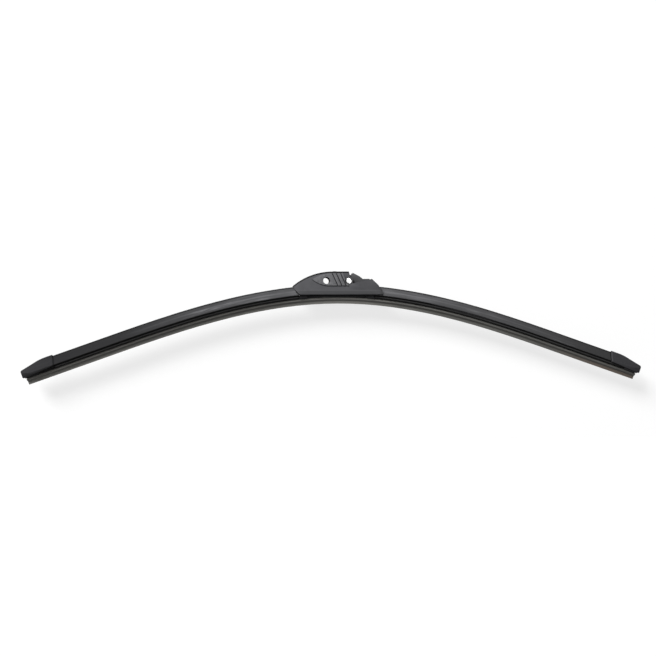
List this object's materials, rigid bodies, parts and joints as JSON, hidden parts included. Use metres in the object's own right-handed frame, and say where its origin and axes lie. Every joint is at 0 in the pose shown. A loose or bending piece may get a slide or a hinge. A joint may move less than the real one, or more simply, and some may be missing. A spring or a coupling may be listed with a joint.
{
  "type": "wiper blade",
  "caption": "Bowed flat wiper blade: rubber strip on spring rails, wedge-shaped spoiler halves, end caps and a connector with a rocking arm adapter.",
  "frame": {"origin": "centre of the large pin bore of the connector, on the blade's middle plane", "axes": "+X along the blade, from the connector's nose to its tail; +Y across the blade, along the pin bores; +Z away from the glass"},
  "size_m": [0.5976, 0.0188, 0.1065],
  "materials": {
    "wiper_rubber": "matt, graphite coated",
    "spring_steel": "black coated spring steel",
    "spoiler": "satin extruded",
    "end_cap": "fine moulded grain",
    "bridge_steel": "black coated stamping",
    "connector": "fine moulded grain",
    "adapter": "smooth moulded"
  },
  "bodies": {
    "blade": {"wiper_rubber": "wiper_rubber", "front_spring_rail": "spring_steel", "rear_spring_rail": "spring_steel", "left_spoiler": "spoiler", "right_spoiler": "spoiler", "left_end_cap": "end_cap", "right_end_cap": "end_cap", "rail_bridge": "bridge_steel", "connector_base": "connector"},
    "adapter": {"arm_adapter": "adapter"}
  },
  "joints": [
    {"name": "adapter_rock", "type": "hinge", "parent": "blade", "child": "adapter", "pos_m": [0.0216, 0, 0], "axis": [0, -1, 0], "range_deg": [-10, 20]}
  ]
}
